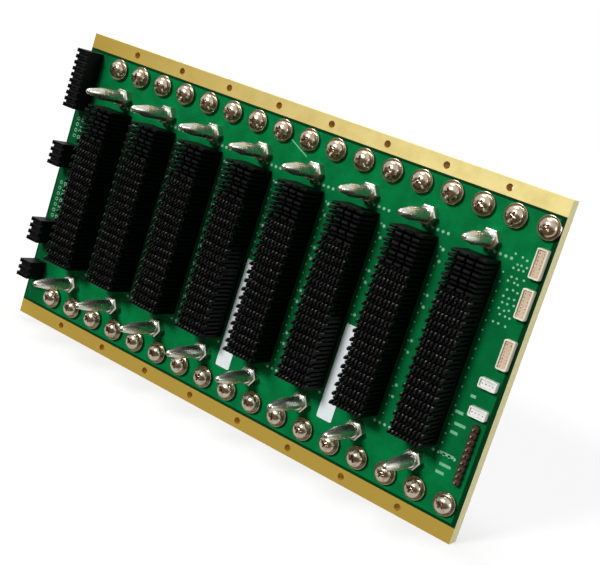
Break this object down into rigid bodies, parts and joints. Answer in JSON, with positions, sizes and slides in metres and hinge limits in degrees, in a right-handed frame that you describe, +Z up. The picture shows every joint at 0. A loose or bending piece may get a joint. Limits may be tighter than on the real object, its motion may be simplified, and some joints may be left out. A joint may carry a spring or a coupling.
{
  "type": "backplane",
  "caption": "Thick circuit board with columns of wafer sockets, guide pins and power terminals; it bolts to a card rack's rear rails and joins plug-in computer boards.",
  "frame": {"origin": "centre of the mounting holes, on the front face of the board", "axes": "+X along the board to the right seen from the front, +Z up, connectors face -Y"},
  "size_m": [0.227, 0.0291, 0.1288],
  "materials": {
    "green_mask": "glossy green solder mask over fibreglass laminate",
    "black_housing": "matt black moulded housing",
    "pin_steel": "turned steel, bright",
    "terminal_metal": "bright tin plate on brass",
    "cream_plastic": "cream moulded plastic",
    "white_plastic": "white moulded plastic",
    "brown_plastic": "dark brown moulded plastic",
    "gold_plating": "thin gold plating",
    "label_paper": "blank white label"
  },
  "bodies": {
    "root": {"board": "green_mask", "slot_1_utility_connector": "black_housing", "slot_1_upper_connector": "black_housing", "slot_1_lower_connector": "black_housing", "slot_2_utility_connector": "black_housing", "slot_2_upper_connector": "black_housing", "slot_2_lower_connector": "black_housing", "slot_3_utility_connector": "black_housing", "slot_3_upper_connector": "black_housing", "slot_3_lower_connector": "black_housing", "slot_4_utility_connector": "black_housing", "slot_4_upper_connector": "black_housing", "slot_4_lower_connector": "black_housing", "slot_5_utility_connector": "black_housing", "slot_5_upper_connector": "black_housing", "slot_5_lower_connector": "black_housing", "slot_6_utility_connector": "black_housing", "slot_6_upper_connector": "black_housing", "slot_6_lower_connector": "black_housing", "slot_7_utility_connector": "black_housing", "slot_7_upper_connector": "black_housing", "slot_7_lower_connector": "black_housing", "slot_8_utility_connector": "black_housing", "slot_8_upper_connector": "black_housing", "slot_8_lower_connector": "black_housing", "upper_guide_pins": "pin_steel", "upper_power_terminals": "terminal_metal", "upper_white_header": "white_plastic", "lower_guide_pins": "pin_steel", "lower_power_terminals": "terminal_metal", "lower_white_header": "white_plastic", "long_edge_header": "black_housing", "middle_edge_header": "black_housing", "low_edge_header": "black_housing", "bottom_edge_header": "black_housing", "upper_cream_header": "cream_plastic", "middle_cream_header": "cream_plastic", "lower_cream_header": "cream_plastic", "pin_header_strip": "brown_plastic", "pin_header_pins": "gold_plating", "left_blank_label": "label_paper", "right_blank_label": "label_paper"}
  },
  "joints": []
}
